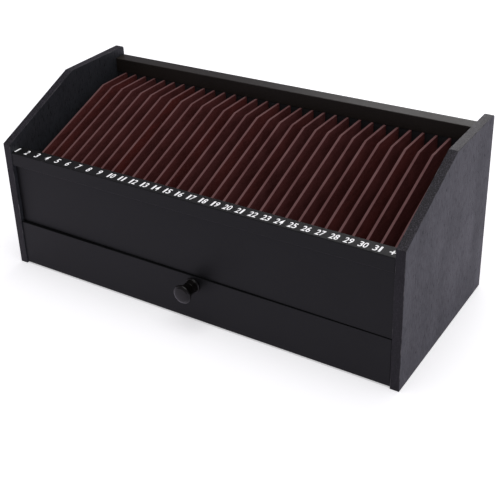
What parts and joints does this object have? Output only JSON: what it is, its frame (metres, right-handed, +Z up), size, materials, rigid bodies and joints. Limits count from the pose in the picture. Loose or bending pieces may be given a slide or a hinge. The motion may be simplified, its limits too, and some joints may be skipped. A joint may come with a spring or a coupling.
{
  "type": "desk bill sorter",
  "caption": "Black wooden desk sorter: a row of numbered upright slots between sloping dividers, over one shallow full-width drawer with a round knob.",
  "frame": {"origin": "bottom centre of the whole object's box, knob included, on the desk", "axes": "+X to the user's right along the row of slots, +Y to the back, +Z up; the drawer opens along -Y"},
  "size_m": [0.4, 0.194, 0.168],
  "materials": {
    "stained_side": "satin black stain over open-grained wood",
    "painted_rail": "satin black paint",
    "painted_panel": "matt black paint",
    "slotted_board": "matt grey-black paint",
    "inner_board": "matt black stain",
    "thin_board": "dark brown hardboard",
    "divider": "burgundy-brown stained thin board",
    "drawer_box": "matt black stain",
    "dowel": "bare beech",
    "steel": "plain bright steel",
    "knob": "gloss black lacquer"
  },
  "bodies": {
    "case": {"left_side_panel": "stained_side", "right_side_panel": "stained_side", "number_rail": "painted_rail", "front_panel": "painted_panel", "back_rail": "painted_rail", "back_panel": "painted_panel", "front_slotted_board": "slotted_board", "back_slotted_board": "slotted_board", "shelf_board": "inner_board", "bottom_board": "thin_board", "case_dowels_left": "dowel", "case_dowels_right": "dowel", "divider_01": "divider", "divider_02": "divider", "divider_03": "divider", "divider_04": "divider", "divider_05": "divider", "divider_06": "divider", "divider_07": "divider", "divider_08": "divider", "divider_09": "divider", "divider_10": "divider", "divider_11": "divider", "divider_12": "divider", "divider_13": "divider", "divider_14": "divider", "divider_15": "divider", "divider_16": "divider", "divider_17": "divider", "divider_18": "divider", "divider_19": "divider", "divider_20": "divider", "divider_21": "divider", "divider_22": "divider", "divider_23": "divider", "divider_24": "divider", "divider_25": "divider", "divider_26": "divider", "divider_27": "divider", "divider_28": "divider", "divider_29": "divider", "divider_30": "divider", "divider_31": "divider"},
    "drawer": {"drawer_front": "painted_panel", "drawer_left_side": "drawer_box", "drawer_right_side": "drawer_box", "drawer_back": "drawer_box", "drawer_bottom": "thin_board", "drawer_dowels": "dowel", "drawer_nails": "steel", "drawer_bottom_brads": "steel", "drawer_knob": "knob", "knob_screw": "steel", "knob_washer": "steel"}
  },
  "joints": [
    {"name": "drawer_slide", "type": "slide", "parent": "case", "child": "drawer", "axis": [0, -1, 0], "range_m": [0, 0.14]}
  ]
}
